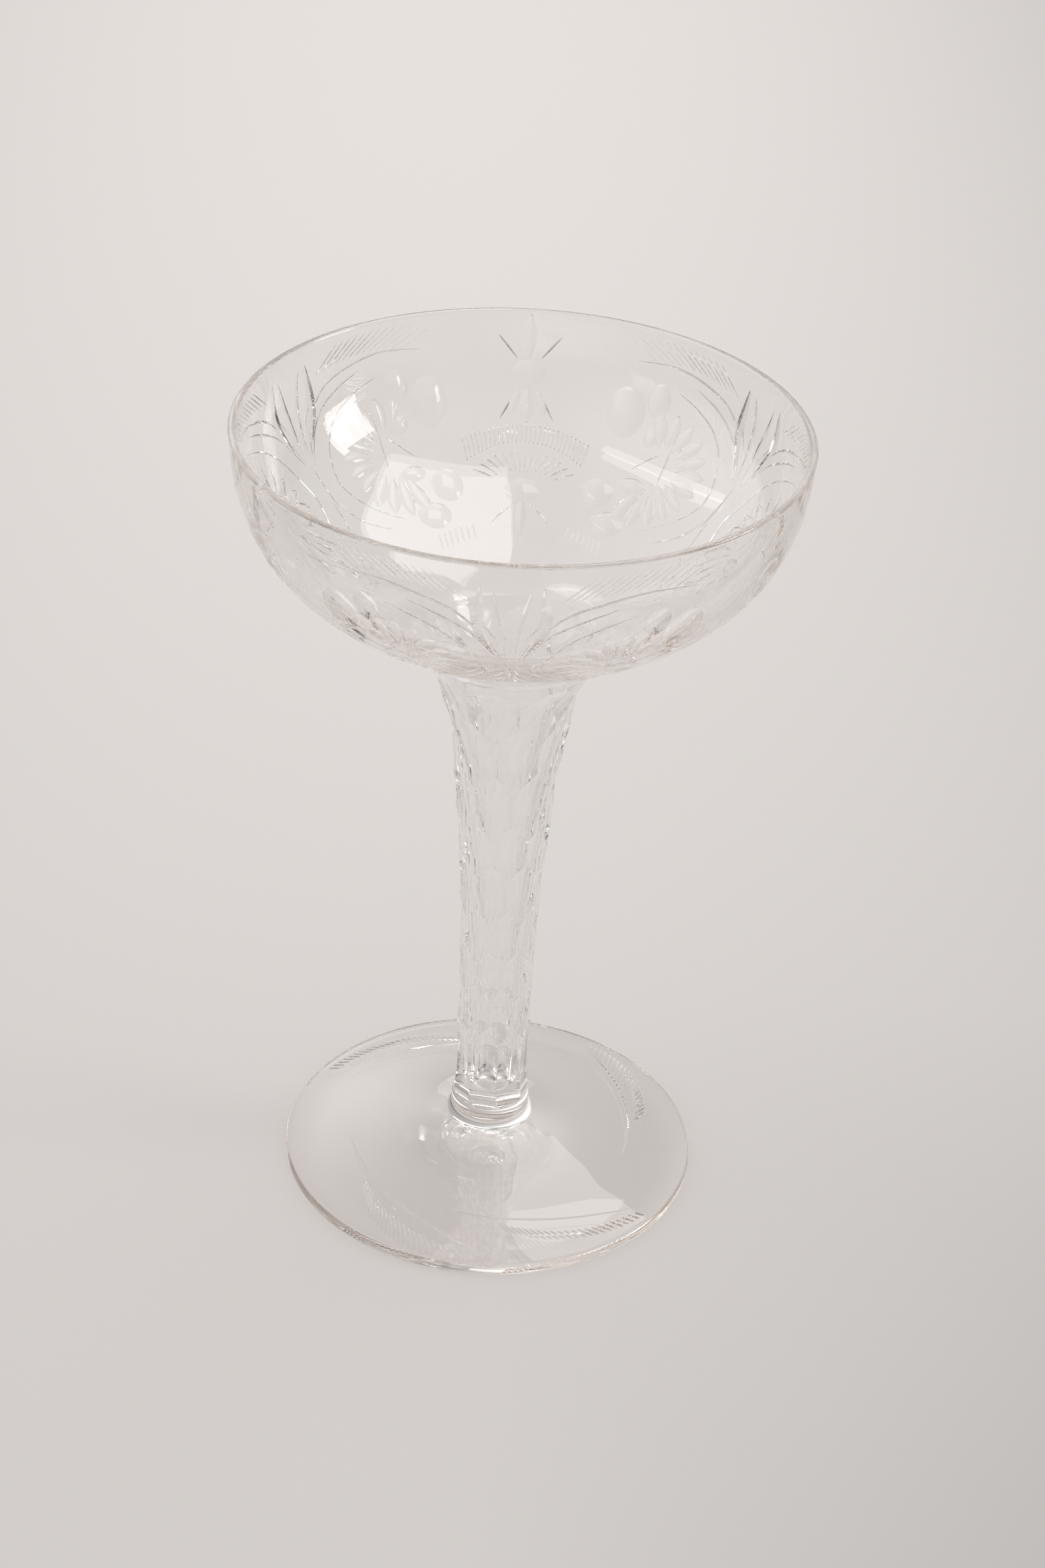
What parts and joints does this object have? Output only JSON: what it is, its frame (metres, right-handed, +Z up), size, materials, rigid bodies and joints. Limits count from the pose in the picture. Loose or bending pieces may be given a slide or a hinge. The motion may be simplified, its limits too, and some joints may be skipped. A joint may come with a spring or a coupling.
{
  "type": "champagne coupe",
  "caption": "Clear cut-crystal champagne coupe: a shallow saucer bowl open into a hollow faceted stem, on a small collar and a domed round foot.",
  "frame": {"origin": "on the glass's axis, at the surface that the foot stands on", "axes": "+Z up the stem towards the rim; X and Y level, with one engraved spray facing -Y"},
  "size_m": [0.095, 0.095, 0.146],
  "materials": {
    "clear_crystal": "polished, with polished wheel cuts"
  },
  "bodies": {
    "root": {"bowl": "clear_crystal", "hollow_stem": "clear_crystal", "stem_collar": "clear_crystal", "foot": "clear_crystal"}
  },
  "joints": []
}
